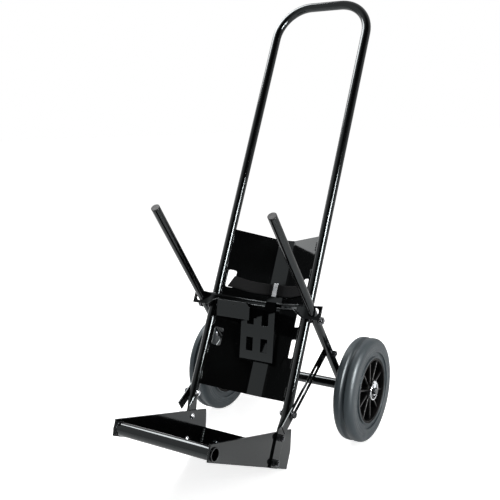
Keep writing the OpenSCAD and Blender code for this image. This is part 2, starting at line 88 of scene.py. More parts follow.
def sums(tree, operation, first, second):
    made = place(tree, "ShaderNodeMath")
    made.operation = operation
    for socket, value in zip(made.inputs, (first, second)):
        if isinstance(value, (int, float)):
            socket.default_value = value
        else:
            join(tree, value, socket)
    return made.outputs[0]


def open_material(name):
    finish = bpy.data.materials.new(name)
    finish.use_nodes = True
    return finish, finish.node_tree, finish.node_tree.nodes["Principled BSDF"]


# %% [markdown]
# Black gloss paint shows the room more than itself, so the room matters. The trolley stood in a white
# studio: pale behind and below, dark round and above the camera, with one bright wall at the left. Pictures
# of a room could be used, but two soft patches do. Each lies round one direction, and the dot product with
# that direction tells how near to its middle a ray points.

# %% Sides of the room
PALE = 0.66
DARK = 0.02
LEFT_WALL = 1.3
DARK_WAY = (0.54, -0.54, 0.64)
LEFT_WAY = (-0.97, 0.18, 0.17)
room = bpy.data.worlds.new("white_room")
scene.world = room
room.use_nodes = True
air = room.node_tree
ray_way = place(air, "ShaderNodeTexCoord")


def patch(middle, start, full, outside, inside):
    nearness = place(air, "ShaderNodeVectorMath")
    nearness.operation = "DOT_PRODUCT"
    nearness.inputs[1].default_value = Vector(middle).normalized()
    join(air, ray_way.outputs["Generated"], nearness.inputs[0])
    level = place(air, "ShaderNodeMapRange", From_Min=start, From_Max=full, To_Min=outside, To_Max=inside)
    level.interpolation_type = "SMOOTHSTEP"
    join(air, nearness.outputs["Value"], level.inputs["Value"])
    return level.outputs["Result"]


dark_side = patch(DARK_WAY, 0.40, 0.94, PALE, DARK)
left_wall = patch(LEFT_WAY, 0.90, 0.98, 0.0, LEFT_WALL)
in_mirrors = sums(air, "ADD", dark_side, left_wall)
print("mirrors see levels from", DARK, "to", PALE, "and a wall of", LEFT_WALL)

# %% [markdown]
# The eye and clear rays see plain white, and mirror rays see the sides of the room. Everything else gets a
# mild even light, so that a colour looks about as it is written. Is Camera Ray, Is Glossy Ray and Is
# Transmission Ray tell the rays apart.

# %% White room
SOFT_FILL = 0.27
backdrop = air.nodes["Background"]
backdrop.inputs["Color"].default_value = (1.0, 1.0, 1.0, 1.0)
rays = place(air, "ShaderNodeLightPath")
direct = sums(air, "MAXIMUM", rays.outputs["Is Camera Ray"], rays.outputs["Is Transmission Ray"])
mirrored = place(air, "ShaderNodeMix", A=SOFT_FILL)
join(air, rays.outputs["Is Glossy Ray"], mirrored.inputs["Factor"])
join(air, in_mirrors, mirrored.inputs["B"])
room_level = place(air, "ShaderNodeMix", B=1.0)
join(air, direct, room_level.inputs["Factor"])
join(air, mirrored.outputs["Result"], room_level.inputs["A"])
join(air, room_level.outputs["Result"], backdrop.inputs["Strength"])
print("room: white to the eye, fill light", SOFT_FILL)

# %% [markdown]
# The floor is one wide pale disc under the wheels. It has to look as white as the room and still carry the
# soft shadow of the trolley. A glow that only the eye and mirrors see lifts the lit floor to white, and
# where the trolley keeps the light away the floor stays a little darker. Mirrors see half of that glow,
# because the paint shows the floor as a mid grey and not as white.

# %% Floor
FLOOR_RADIUS = 14.0
FLOOR_DROP = 0.0003
FLOOR_GLOW = 0.82
MIRROR_SHARE = 0.50
disc = bmesh.new()
bmesh.ops.create_circle(disc, cap_ends=True, segments=96, radius=FLOOR_RADIUS)
bmesh.ops.translate(disc, verts=disc.verts, vec=(0.0, 0.0, -FLOOR_DROP))
floor_mesh = bpy.data.meshes.new("studio_floor")
disc.to_mesh(floor_mesh)
disc.free()
floor = bpy.data.objects.new("studio_floor", floor_mesh)
scene.collection.objects.link(floor)
paper, pulp, paper_shader = open_material("white_paper")
paper_shader.inputs["Base Color"].default_value = (0.8, 0.8, 0.8, 1.0)
paper_shader.inputs["Roughness"].default_value = 1.0
paper_shader.inputs["Specular IOR Level"].default_value = 0.0
paper_shader.inputs["Emission Color"].default_value = (1.0, 1.0, 1.0, 1.0)
seen = place(pulp, "ShaderNodeLightPath")
eye_or_clear = sums(pulp, "MAXIMUM", seen.outputs["Is Camera Ray"], seen.outputs["Is Transmission Ray"])
in_mirror = sums(pulp, "MULTIPLY", seen.outputs["Is Glossy Ray"], MIRROR_SHARE)
glow = sums(pulp, "MULTIPLY", sums(pulp, "MAXIMUM", eye_or_clear, in_mirror), FLOOR_GLOW)
join(pulp, glow, paper_shader.inputs["Emission Strength"])
floor_mesh.materials.append(paper)
print("floor: a disc", floor.dimensions.x, "m across")

# %% [markdown]
# The bright lines along the tubes are mirror images of lamps. Following the view rays back from those lines
# gives the lamps' places: a tall narrow softbox at the right, whose top edge ends the lines part of the way
# up the rails, and a wide one overhead at the back left, which lights the tops of the tyres. The lines are
# far brighter than the light of the tall lamp, so a card stands in its place that only mirrors see.


# %% Softboxes
def softbox(name, place_at, aim_at, width, height, watts):
    lamp = bpy.data.lights.new(name, "AREA")
    lamp.shape = "RECTANGLE"
    lamp.size = width
    lamp.size_y = height
    lamp.energy = watts
    stand = bpy.data.objects.new(name, lamp)
    stand.location = place_at
    stand.rotation_mode = "QUATERNION"
    stand.rotation_quaternion = (Vector(aim_at) - Vector(place_at)).to_track_quat("-Z", "Y")
    scene.collection.objects.link(stand)
    return stand


TALL_PLACE = (1.2, -0.32, 0.86)
TALL_AIM = (0.0, 0.05, 0.5)
softbox("tall_softbox", TALL_PLACE, TALL_AIM, width=0.2, height=0.8, watts=6.0)
mirror_card = softbox("mirror_card", TALL_PLACE, TALL_AIM, width=0.34, height=0.8, watts=76.0)
mirror_card.visible_diffuse = False
softbox("top_softbox", (-0.95, 0.35, 1.8), (0.0, 0.0, 0.3), width=0.9, height=0.9, watts=31.0)

# %% [markdown]
# The frame is drawn with upright rails and then leaned back, so places on it are easiest to give in that
# upright drawing: across, forward or back, and up along the rails, in millimetres. This helper leans such
# a place back and gives it in metres. The strap and the welds are laid out with it.

# %% Places on the leaning frame
LEAN = math.radians(27.5)
RAIL_FOOT = Vector((0.0, -0.15051, 0.03278))
HANDLE_TOP = 1141.0


def on_frame(across, back, up):
    leaned_back = back * math.cos(LEAN) + up * math.sin(LEAN)
    leaned_up = up * math.cos(LEAN) - back * math.sin(LEAN)
    return RAIL_FOOT + Vector((across, leaned_back, leaned_up)) / 1000.0


print("top of the rails is at", [round(v, 3) for v in on_frame(0.0, 0.0, HANDLE_TOP)])

# %% [markdown]
# The strap is flat polyester webbing, 29 mm wide. Each half starts behind the back plate, turns forward
# through a slot, lies on the slanted side of the trough and ends in a metal keeper in the middle. Cloth
# simulation would be wasted on a stiff narrow band that is pulled straight, so the band is swept along its
# route instead: a flat section, moved from point to point, with the corners of the route eased.

# %% Route of the strap
STRAP_WIDTH = 28.6
STRAP_THICKNESS = 1.7
STRAP_HEIGHT = 401.0
BEND_REACH = 6.0
BEND_ROOM = 2.2
BEND_STEPS = 6
POINT_GAP = 2.0
LEFT_ROUTE = [(-83.1, 24.9), (-99.5, 13.7), (-99.5, 7.8), (-19.2, 59.9), (13.6, 59.9)]
RIGHT_ROUTE = [(83.1, 24.9), (99.5, 13.7), (99.5, 7.8), (20.4, 57.6), (-13.6, 57.6)]


def eased(route, reach):
    corners = [Vector(point) for point in route]
    line = [corners[0]]
    for before, corner, after in zip(corners, corners[1:], corners[2:]):
        into = (corner - before).normalized()
        out = (after - corner).normalized()
        short = min(reach, (corner - before).length / BEND_ROOM, (after - corner).length / BEND_ROOM)
        start = corner - into * short
        end = corner + out * short
        for step in range(BEND_STEPS + 1):
            share = step / BEND_STEPS
            first = start.lerp(corner, share)
            second = corner.lerp(end, share)
            line.append(first.lerp(second, share))
    line.append(corners[-1])
    return line


def spaced(line, gap):
    laid = [line[0]]
    for point in line[1:]:
        run = point - laid[-1]
        pieces = max(1, math.ceil(run.length / gap))
        start = laid[-1]
        for step in range(1, pieces + 1):
            laid.append(start + run * (step / pieces))
    return laid


left_line = spaced(eased(LEFT_ROUTE, BEND_REACH), POINT_GAP)
right_line = spaced(eased(RIGHT_ROUTE, BEND_REACH), POINT_GAP)

# %% [markdown]
# The section of the band is a closed loop of points: a thin middle, and a rounded, slightly thicker woven
# edge on each side. A plain flat box would do from afar, but its hard edge would catch no light.

# %% Section of the band
SECTION_STEPS = 14
WOVEN_EDGE = 2.2
ROUNDED_EDGE = 0.7
MIDDLE_SHARE = 0.86
THINNEST_SHARE = 0.12


def band_section(width, thickness):
    half = width / 2.0
    upper = []
    for step in range(SECTION_STEPS + 1):
        across = -half + width * step / SECTION_STEPS
        from_edge = half - abs(across)
        edge_share = (1.0 - MIDDLE_SHARE) * max(0.0, 1.0 - from_edge / WOVEN_EDGE)
        thick = thickness * (MIDDLE_SHARE + edge_share)
        rounding = math.sqrt(max(0.0, 1.0 - (1.0 - min(1.0, from_edge / ROUNDED_EDGE)) ** 2))
        upper.append((across, thick / 2.0 * max(THINNEST_SHARE, rounding)))
    lower = [(across, -thick) for across, thick in reversed(upper[1:-1])]
    return upper + lower


section = band_section(STRAP_WIDTH, STRAP_THICKNESS)
print("points round the section:", len(section))

# %% [markdown]
# Sweeping the section needs the direction across the route at every point. The band goes through the slot
# at a slant, so its upper edge turns back before its lower edge, and it sags a little between the slot and
# the keeper. Each point keeps its distance along and across the band as a texture place, so that the weave
# follows the band round its bends.

# %% Webbing
SLANT_IN_SLOT = 13.0
TURN_AT = 22.0
TURN_SPREAD = 10.0
KEEPER_SHARE = 0.86
SAG = 3.0


def webbing(name, line):
    panel_way = (line[len(line) * 2 // 3] - line[len(line) // 3]).normalized()
    band = bmesh.new()
    weave_place = band.loops.layers.uv.new("weave")
    rings = []
    travelled = 0.0
    total = sum((b - a).length for a, b in zip(line, line[1:]))
    for index, point in enumerate(line):
        before = line[max(0, index - 1)]
        after = line[min(len(line) - 1, index + 1)]
        along = (after - before).normalized()
        face = Vector((-along.y, along.x))
        if index:
            travelled += (point - line[index - 1]).length
        free_share = (travelled - TURN_AT) / (KEEPER_SHARE * total - TURN_AT)
        drop = SAG * math.sin(math.pi * min(1.0, max(0.0, free_share))) ** 2
        skew = SLANT_IN_SLOT * math.exp(-((travelled - TURN_AT) / TURN_SPREAD) ** 2)
        ring = []
        for across, proud in section:
            spot = point + face * proud + panel_way * (skew * across / STRAP_WIDTH)
            ring.append(band.verts.new(on_frame(spot.x, spot.y, STRAP_HEIGHT + across - drop)))
        rings.append((travelled / 1000.0, ring))
    count = len(section)
    for (from_start, ring), (further, following) in zip(rings, rings[1:]):
        for k in range(count):
            n = (k + 1) % count
            quad = band.faces.new((ring[k], ring[n], following[n], following[k]))
            quad.smooth = True
            places = ((from_start, k), (from_start, n), (further, n), (further, k))
            for corner, (run, side) in zip(quad.loops, places):
                corner[weave_place].uv = (run, section[side][0] / 1000.0)
    band.faces.new(rings[0][1])
    band.faces.new(list(reversed(rings[-1][1])))
    bmesh.ops.recalc_face_normals(band, faces=band.faces)
    mesh = bpy.data.meshes.new(name)
    band.to_mesh(mesh)
    band.free()
    made = bpy.data.objects.new(name, mesh)
    scene.collection.objects.link(made)
    return made


webbing_left = webbing("webbing_left", left_line)
webbing_right = webbing("webbing_right", right_line)
for band, solid in ((webbing_left, "strap_left"), (webbing_right, "strap_right")):
    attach(band, "frame")
    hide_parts(solid)
print("webbing:", len(webbing_left.data.polygons), "faces in each half")

# %% [markdown]
# Polyester webbing is a tight weave of dull black yarn. Seen close, short ribs of warp run along the band
# and cross in a chevron. Two sine waves over the texture places make the ribs: one leans to the left on one
# half of the band and to the right on the other. The ribs drive the bump, and the colour is painted darker
# between them as painted shade.

# %% Webbing finish
RIB_PITCH = 0.0021
THREAD_PITCH = 0.0013
THREAD_SHARE = 0.5
WAVE_LIMIT = 1.0 + THREAD_SHARE
# painted shade: the yarn colour in the low places between the ribs
PAINTED_SHADE_BETWEEN_RIBS = (0.0020, 0.0021, 0.0024)
ON_RIBS = (0.0085, 0.0088, 0.0098)
weave, cloth, yarn = open_material("woven_webbing")
yarn.inputs["Roughness"].default_value = 0.85
yarn.inputs["Specular IOR Level"].default_value = 0.1
yarn.inputs["Sheen Weight"].default_value = 0.04
yarn.inputs["Sheen Roughness"].default_value = 0.5
spot = place(cloth, "ShaderNodeUVMap")
spot.uv_map = "weave"
split = place(cloth, "ShaderNodeSeparateXYZ")
join(cloth, spot.outputs["UV"], split.inputs["Vector"])
from_middle = sums(cloth, "ABSOLUTE", split.outputs["Y"], 0.0)
chevron = sums(cloth, "ADD", split.outputs["X"], from_middle)


def wave(distance, pitch):
    return sums(cloth, "SINE", sums(cloth, "MULTIPLY", distance, 2.0 * math.pi / pitch), 0.0)


rib_wave = wave(chevron, RIB_PITCH)
thread_wave = wave(split.outputs["Y"], THREAD_PITCH)
woven = sums(cloth, "ADD", rib_wave, sums(cloth, "MULTIPLY", thread_wave, THREAD_SHARE))
raised = place(cloth, "ShaderNodeMapRange", From_Min=-WAVE_LIMIT, From_Max=WAVE_LIMIT)
join(cloth, woven, raised.inputs["Value"])
# painted shade: the colour follows the rib height and is darker between the ribs
yarn_colour_and_painted_shade = place(cloth, "ShaderNodeMix")
yarn_colour_and_painted_shade.data_type = "RGBA"
yarn_colour_and_painted_shade.inputs["A"].default_value = (*PAINTED_SHADE_BETWEEN_RIBS, 1.0)
yarn_colour_and_painted_shade.inputs["B"].default_value = (*ON_RIBS, 1.0)
join(cloth, raised.outputs["Result"], yarn_colour_and_painted_shade.inputs["Factor"])
join(cloth, yarn_colour_and_painted_shade.outputs["Result"], yarn.inputs["Base Color"])
weave_bump = place(cloth, "ShaderNodeBump", Strength=0.7, Distance=0.0003)
join(cloth, raised.outputs["Result"], weave_bump.inputs["Height"])
join(cloth, weave_bump.outputs["Normal"], yarn.inputs["Normal"])
for band in (webbing_left, webbing_right):
    band.data.materials.append(weave)
print("webbing ribs every", RIB_PITCH * 1000.0, "mm")

# %% [markdown]
# The frame, plate, platform, legs, rack and stays are steel, powder coated in deep gloss black. The coat
# flows a little in the oven, which leaves a faint orange-peel skin, and it rounds every cut edge, so edges
# catch a thin line of light. The Bevel node gives that rounded edge, a fine noise gives the skin, and a
# broad noise changes the gloss by a little from place to place. Other finishes need the same things, so
# they come as helpers.


# %% Finish helpers
def rounded_edges(tree, radius):
    edge = place(tree, "ShaderNodeBevel", Radius=radius)
    edge.samples = 6
    return edge.outputs["Normal"]


def mottle(tree, scale, detail):
    where = place(tree, "ShaderNodeTexCoord")
    noise = place(tree, "ShaderNodeTexNoise", Scale=scale, Detail=detail)
    join(tree, where.outputs["Object"], noise.inputs["Vector"])
    return noise.outputs["Fac"]


def between(tree, value, low, high):
    ranged = place(tree, "ShaderNodeMapRange", From_Min=0.3, From_Max=0.7, To_Min=low, To_Max=high)
    join(tree, value, ranged.inputs["Value"])
    return ranged.outputs["Result"]


def two_tones(tree, value, first, second):
    mixed = place(tree, "ShaderNodeMix")
    mixed.data_type = "RGBA"
    mixed.inputs["A"].default_value = (*first, 1.0)
    mixed.inputs["B"].default_value = (*second, 1.0)
    join(tree, value, mixed.inputs["Factor"])
    return mixed.outputs["Result"]


def skin(tree, shader, height, depth, strength, edge_radius):
    bump = place(tree, "ShaderNodeBump", Strength=strength, Distance=depth)
    join(tree, height, bump.inputs["Height"])
    join(tree, rounded_edges(tree, edge_radius), bump.inputs["Normal"])
    join(tree, bump.outputs["Normal"], shader.inputs["Normal"])


# %% [markdown]
# The coat is almost without colour, and its mirror image of the room is a touch cool. Bent sheet is rounder
# than cut plate, so the paint is mixed with the radius of the edges.

# %% Gloss black paint
CUT_EDGE = 0.0009
BENT_EDGE = 0.0022
COOL_MIRROR = (0.90, 0.98, 1.0, 1.0)
COAT_TONES = ((0.0014, 0.0015, 0.0016), (0.0032, 0.0034, 0.0036))


def black_paint(name, edge_radius):
    finish, coat, gloss = open_material(name)
    gloss.inputs["IOR"].default_value = 1.5
    gloss.inputs["Specular Tint"].default_value = COOL_MIRROR
    join(coat, two_tones(coat, mottle(coat, 9.0, 3.0), *COAT_TONES), gloss.inputs["Base Color"])
    join(coat, between(coat, mottle(coat, 14.0, 4.0), 0.05, 0.11), gloss.inputs["Roughness"])
    skin(coat, gloss, mottle(coat, 420.0, 2.0), 0.00012, 0.12, edge_radius)
    return finish


paint = black_paint("gloss_black_paint", CUT_EDGE)
bent_paint = black_paint("gloss_black_on_bent_sheet", BENT_EDGE)
PAINTED = ["rail_frame", "back_plate", "foot_side_left", "foot_side_right", "foot_floor", "foot_wall",
           "foot_tube", "leg_left", "leg_right", "axle_tube", "stay_left", "stay_right"]


def dress(names, finish):
    for name in names:
        for slot in parts[name].material_slots:
            slot.material = finish


dress(PAINTED, paint)
dress(["cross_bar"], bent_paint)
print("painted parts:", len(PAINTED) + 1)

# %% [markdown]
# The cross bar is pressed from one strip: a channel that arches back behind the tag plate, and whose lower
# flange sweeps down into a plate at each end with a slot for the leg. The solid has straight plates there.
# A sweep gives the flow from channel to plate. Its plan comes first: a round arch, whose heading then turns
# back smoothly until the strip runs straight across, where the plate starts.

# %% Plan of the cross bar
ARCH_RADIUS = 224.07
ARCH_MIDDLE = 5.5
ARCH_END = 104.0
PLATE_FROM = 131.0
STRAIGHT_END = 2.0
PLAN_STEPS = 131


def ease(share):
    held = min(1.0, max(0.0, share))
    return held * held * (3.0 - 2.0 * held)


def bar_plan():
    places = []
    back = 0.0
    for step in range(PLAN_STEPS + 1):
        across = PLATE_FROM * step / PLAN_STEPS
        turned = math.asin(min(across, ARCH_END) / ARCH_RADIUS)
        turned *= 1.0 - ease((across - ARCH_END) / (PLATE_FROM - ARCH_END - STRAIGHT_END))
        if across <= ARCH_END:
            back = ARCH_MIDDLE - ARCH_RADIUS + math.sqrt(ARCH_RADIUS ** 2 - across ** 2)
        else:
            back -= math.tan(turned) * PLATE_FROM / PLAN_STEPS
        places.append((across, back, turned))
    return places


half_bar = bar_plan()
plate_front = half_bar[-1][1]
print("front of the plates at", round(plate_front, 2), "mm")

# %% [markdown]
# The section is a C: a web with a flange forward at its top and at its bottom. Toward the end the lower
# edge drops to the bottom of the plate, the sheet grows to the thickness of the plate, and the flanges
# taper away.

# %% Section of the channel
SWEEP_FROM = 101.0
TAPER_FROM = 112.0
SHEET = 3.0
PLATE_SHEET = 4.0
FLANGE = 8.0
BAR_BOTTOM = 347.0
BAR_TOP = 360.0
PLATE_BOTTOM = 331.5
PLATE_TOP = 361.0


def toward_plate(across, start):
    return ease((across - start) / (PLATE_FROM - start))


def bar_ring(bar, side, across, back, turned):
    low = BAR_BOTTOM + (PLATE_BOTTOM - BAR_BOTTOM) * toward_plate(across, SWEEP_FROM)
    high = BAR_TOP + (PLATE_TOP - BAR_TOP) * toward_plate(across, SWEEP_FROM)
    thick = SHEET + (PLATE_SHEET - SHEET) * toward_plate(across, ARCH_END)
    depth = FLANGE * (1.0 - toward_plate(across, TAPER_FROM))
    outline = [(thick, low), (thick, low + SHEET), (thick, high - SHEET), (thick, high)]
    outline += [(-depth, high), (-depth, high - SHEET), (0.0, high - SHEET)]
    outline += [(0.0, low + SHEET), (-depth, low + SHEET), (-depth, low)]
    ring = []
    for rear, up in outline:
        out = across + rear * math.sin(turned)
        ring.append(bar.verts.new(on_frame(side * out, back + rear * math.cos(turned), up)))
    return ring


print("flanges taper away over", PLATE_FROM - TAPER_FROM, "mm")

# %% [markdown]
# A plate is a ring of faces between its outline and the slot for the leg. The leg is round and goes through
# at a slant, so the slot is taller than the leg is thick and sits lower on the rear face. The three edges
# of the outline where the channel arrives stay open, and the sweep closes them.

# %% End plates
PLATE_CORNER = (171.4, 364.5)
SLOT_MIDDLE = (149.1, 155.1)
SLOT_UP = 335.5
LEG_RADIUS = 10.0
LEG_RISE = 0.5364
EDGE_STEPS = 12
OPEN_EDGES = 3


def plate_edge():
    edge = [(PLATE_FROM, PLATE_BOTTOM)]
    corners = [(PLATE_CORNER[0], PLATE_BOTTOM), PLATE_CORNER, (PLATE_FROM, PLATE_TOP)]
    for corner in corners:
        start = Vector(edge[-1])
        for step in range(1, EDGE_STEPS + 1):
            edge.append(tuple(start.lerp(Vector(corner), step / EDGE_STEPS)))
    edge.append((PLATE_FROM, PLATE_TOP - SHEET))
    edge.append((PLATE_FROM, PLATE_BOTTOM + SHEET))
    return edge


def slot_spot(spot, up):
    middle = sum(SLOT_MIDDLE) / 2.0
    turn = math.atan2(spot[1] - up, spot[0] - middle)
    end = SLOT_MIDDLE[1] if math.cos(turn) > 0.0 else SLOT_MIDDLE[0]
    rise = LEG_RADIUS * math.hypot(1.0, LEG_RISE)
    return end + LEG_RADIUS * math.cos(turn), up + rise * math.sin(turn)


def bar_plate(bar, side):
    edge = plate_edge()
    loops = []
    for back in (plate_front, plate_front + PLATE_SHEET):
        slot_up = SLOT_UP - back * LEG_RISE
        rim = [bar.verts.new(on_frame(side * out, back, up)) for out, up in edge]
        hole = []
        for spot in edge:
            out, up = slot_spot(spot, slot_up)
            hole.append(bar.verts.new(on_frame(side * out, back, up)))
        loops.append((rim, hole))
    (rim, hole), (rear_rim, rear_hole) = loops
    count = len(edge)
    for k in range(count):
        n = (k + 1) % count
        bar.faces.new((rim[k], rim[n], hole[n], hole[k]))
        bar.faces.new((rear_rim[k], rear_hole[k], rear_hole[n], rear_rim[n]))
        bar.faces.new((hole[k], hole[n], rear_hole[n], rear_hole[k]))
        if k < count - OPEN_EDGES:
            bar.faces.new((rim[k], rear_rim[k], rear_rim[n], rim[n]))


print("points round a plate:", len(plate_edge()))

# %% [markdown]
# The rings of both halves and the two plates make one closed skin. Edges where the faces meet at more than
# 35 degrees stay sharp, and all others are shaded smooth.

# %% Formed cross bar
SAME_PLACE = 0.00002
SHARP = math.radians(35.0)


def formed_bar(name):
    bar = bmesh.new()
    rings = [bar_ring(bar, -1.0, *plan) for plan in reversed(half_bar[1:])]
    rings += [bar_ring(bar, 1.0, *plan) for plan in half_bar]
    for ring, following in zip(rings, rings[1:]):
        for k in range(len(ring)):
            n = (k + 1) % len(ring)
            bar.faces.new((ring[k], ring[n], following[n], following[k]))
    for side in (-1.0, 1.0):
        bar_plate(bar, side)
    bmesh.ops.remove_doubles(bar, verts=bar.verts, dist=SAME_PLACE)
    bmesh.ops.recalc_face_normals(bar, faces=bar.faces)
    for face in bar.faces:
        face.smooth = True
    for line in bar.edges:
        line.smooth = line.is_manifold and line.calc_face_angle() < SHARP
    open_edges = sum(not line.is_manifold for line in bar.edges)
    mesh = bpy.data.meshes.new(name)
    bar.to_mesh(mesh)
    bar.free()
    made = bpy.data.objects.new(name, mesh)
    scene.collection.objects.link(made)
    print("faces of the cross bar:", len(mesh.polygons), "open edges:", open_edges)
    return made


cross_channel = formed_bar("cross_channel")
cross_channel.data.materials.append(bent_paint)
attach(cross_channel, "undercarriage")
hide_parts("cross_bar")

# %% [markdown]
# In the photograph the tab of the tag plate, the top of the rack and the plates of the bar look black, where
# gloss paint would show something pale of this plain room. What the real ones mirrored there isn't known.
# Dark cards could be hung in the room, but other parts would show them too, so the paint loses its gloss in
# those places instead. A distance along one direction tells them from the rest: straight back from the
# face of the tag plate, up the rails on the rack, on a slant, and out to both sides on the bar.

# %% Dull places round the bar
FULL_GLOSS = 0.5


def dull_past(finish, way, start, full, gloss_kept, both_ways=False):
    tree = finish.node_tree
    where = place(tree, "ShaderNodeTexCoord")
    along = place(tree, "ShaderNodeVectorMath")
    along.operation = "DOT_PRODUCT"
    along.inputs[1].default_value = way
    join(tree, where.outputs["Object"], along.inputs[0])
    reached = along.outputs["Value"]
    if both_ways:
        reached = sums(tree, "ABSOLUTE", reached, 0.0)
    gloss_left = place(tree, "ShaderNodeMapRange", From_Min=start, From_Max=full, To_Min=FULL_GLOSS)
    gloss_left.inputs["To Max"].default_value = gloss_kept
    join(tree, reached, gloss_left.inputs["Value"])
    join(tree, gloss_left.outputs["Result"], tree.nodes["Principled BSDF"].inputs["Specular IOR Level"])
    return finish


TAG_TILT = math.radians(18.8)
TAG_FACE_DEPTH = 0.0035
TAG_FADE = 0.0015
TAG_TOP_PLACE = (0.0, -29.7, 347.0)
tag_top = on_frame(*TAG_TOP_PLACE)
behind_tag = on_frame(0.0, 1000.0 * math.cos(TAG_TILT), 1000.0 * math.sin(TAG_TILT)) - RAIL_FOOT
tag_start = tag_top.dot(behind_tag) + TAG_FACE_DEPTH
tag_paint = black_paint("gloss_black_on_tag_plate", CUT_EDGE)
dress(["tag_plate"], dull_past(tag_paint, behind_tag, tag_start, tag_start + TAG_FADE, 0.0))
RACK_SLANT = 0.33
RACK_FADE = 0.003
RACK_DULL_UP = 319.5
up_the_rack = on_frame(0.0, 0.0, 1000.0) - RAIL_FOOT - Vector((RACK_SLANT, 0.0, 0.0))
rack_start = on_frame(0.0, 0.0, RACK_DULL_UP).dot(up_the_rack)
rack_paint = black_paint("gloss_black_on_rack", CUT_EDGE)
dress(["tool_rack"], dull_past(rack_paint, up_the_rack, rack_start, rack_start + RACK_FADE, 0.0))
BAR_DULL_FROM = 0.126
BAR_DULL_FULL = 0.134
BAR_GLOSS_KEPT = 0.18
dull_past(bent_paint, (1.0, 0.0, 0.0), BAR_DULL_FROM, BAR_DULL_FULL, BAR_GLOSS_KEPT, both_ways=True)
print("tag plate is dull from", round(tag_start, 4), "and the rack from", round(rack_start, 4))

# %% [markdown]
# Bolts, nuts, washers, linch pins, rings and the strap keeper are zinc plated. Bright zinc is a pale,
# slightly blue metal that is a little cloudy: some places mirror sharply and others softly. Metallic is
# set to 1 and a noise spreads the roughness. The pins, rings and keeper are bright, the nuts and studs are
# black zinc, and the washers in the hubs look darker still, so one helper makes three platings.

# %% Zinc plating
BRIGHT_ZINC = ((0.70, 0.73, 0.77), (0.90, 0.91, 0.92))
BLACK_ZINC = ((0.070, 0.073, 0.079), (0.150, 0.154, 0.162))
DULL_ZINC = ((0.030, 0.033, 0.037), (0.060, 0.064, 0.070))


def cloudy(plating, shader):
    shader.inputs["Metallic"].default_value = 1.0
    join(plating, between(plating, mottle(plating, 120.0, 4.0), 0.12, 0.26), shader.inputs["Roughness"])
    skin(plating, shader, mottle(plating, 700.0, 2.0), 0.00005, 0.12, 0.0006)


def plated(name, tones):
    finish, plating, shader = open_material(name)
    join(plating, two_tones(plating, mottle(plating, 90.0, 3.0), *tones), shader.inputs["Base Color"])
    cloudy(plating, shader)
    return finish


BRIGHT_FITTINGS = ["strap_keeper", "linch_pin_left", "linch_pin_right", "linch_ring_left",
                   "linch_ring_right"]
DARK_FITTINGS = ["foot_nuts", "pivot_bolts", "stay_pins"]
dress(BRIGHT_FITTINGS, plated("bright_zinc_plate", BRIGHT_ZINC))
dress(DARK_FITTINGS, plated("black_zinc_plate", BLACK_ZINC))
dress(["axle_washers"], plated("dull_zinc_plate", DULL_ZINC))
print("plated parts:", len(BRIGHT_FITTINGS) + len(DARK_FITTINGS) + 1)

# %% [markdown]
# The bolts through the rails have bright heads inside and dark nuts outside, and each bolt is one part. A
# second part would do, but the two ends are told apart by their distance from the middle of the trolley,
# so the plating changes from bright to dark halfway through the rail, where it can't be seen.

# %% Bolts with two finishes
RAIL_MIDDLE = 0.126
two_ended, ends, end_shader = open_material("bright_head_and_dark_nut")
cloudy(ends, end_shader)
end_place = place(ends, "ShaderNodeTexCoord")
end_split = place(ends, "ShaderNodeSeparateXYZ")
join(ends, end_place.outputs["Object"], end_split.inputs["Vector"])
from_centre = sums(ends, "ABSOLUTE", end_split.outputs["X"], 0.0)
outer_end = sums(ends, "GREATER_THAN", from_centre, RAIL_MIDDLE)
head_tone = two_tones(ends, mottle(ends, 90.0, 3.0), *BRIGHT_ZINC)
nut_tone = two_tones(ends, mottle(ends, 90.0, 3.0), *BLACK_ZINC)
bolt_tone = place(ends, "ShaderNodeMix")
bolt_tone.data_type = "RGBA"
join(ends, outer_end, bolt_tone.inputs["Factor"])
join(ends, head_tone, bolt_tone.inputs["A"])
join(ends, nut_tone, bolt_tone.inputs["B"])
join(ends, bolt_tone.outputs["Result"], end_shader.inputs["Base Color"])
dress(["foot_bolts", "stay_bolts"], two_ended)
print("bolts with two finishes: 2 parts")

# %% [markdown]
# The axle rod and the bushes in the hubs are plain drawn steel. Drawing leaves fine lines along the rod, so
# the noise is stretched a lot in that direction before it drives the roughness and the bump.

# %% Drawn steel
STEEL_TONES = ((0.05, 0.053, 0.058), (0.11, 0.114, 0.120))
LINE_SCALES = (40.0, 2600.0, 2600.0)
steel, rod, drawn = open_material("drawn_steel")
drawn.inputs["Metallic"].default_value = 1.0
rod_place = place(rod, "ShaderNodeTexCoord")
stretch = place(rod, "ShaderNodeMapping", Scale=LINE_SCALES)
join(rod, rod_place.outputs["Object"], stretch.inputs["Vector"])
line_noise = place(rod, "ShaderNodeTexNoise", Scale=1.0, Detail=3.0)
join(rod, stretch.outputs["Vector"], line_noise.inputs["Vector"])
draw_lines = line_noise.outputs["Fac"]
join(rod, two_tones(rod, draw_lines, *STEEL_TONES), drawn.inputs["Base Color"])
join(rod, between(rod, draw_lines, 0.22, 0.42), drawn.inputs["Roughness"])
skin(rod, drawn, draw_lines, 0.00008, 0.2, 0.0006)
dress(["axle_rod", "bush_left", "bush_right"], steel)
print("steel parts: 3")

# %% [markdown]
# The tyres are solid mid-grey rubber. A moulded tyre has shallow rings on its side: a groove above the bead
# and a raised band further out. They could be cut into the solid, but they are only about half a millimetre
# deep. The distance from the axle tells how far out a point of the tyre is, and a colour ramp over that
# distance draws the rings as bump.

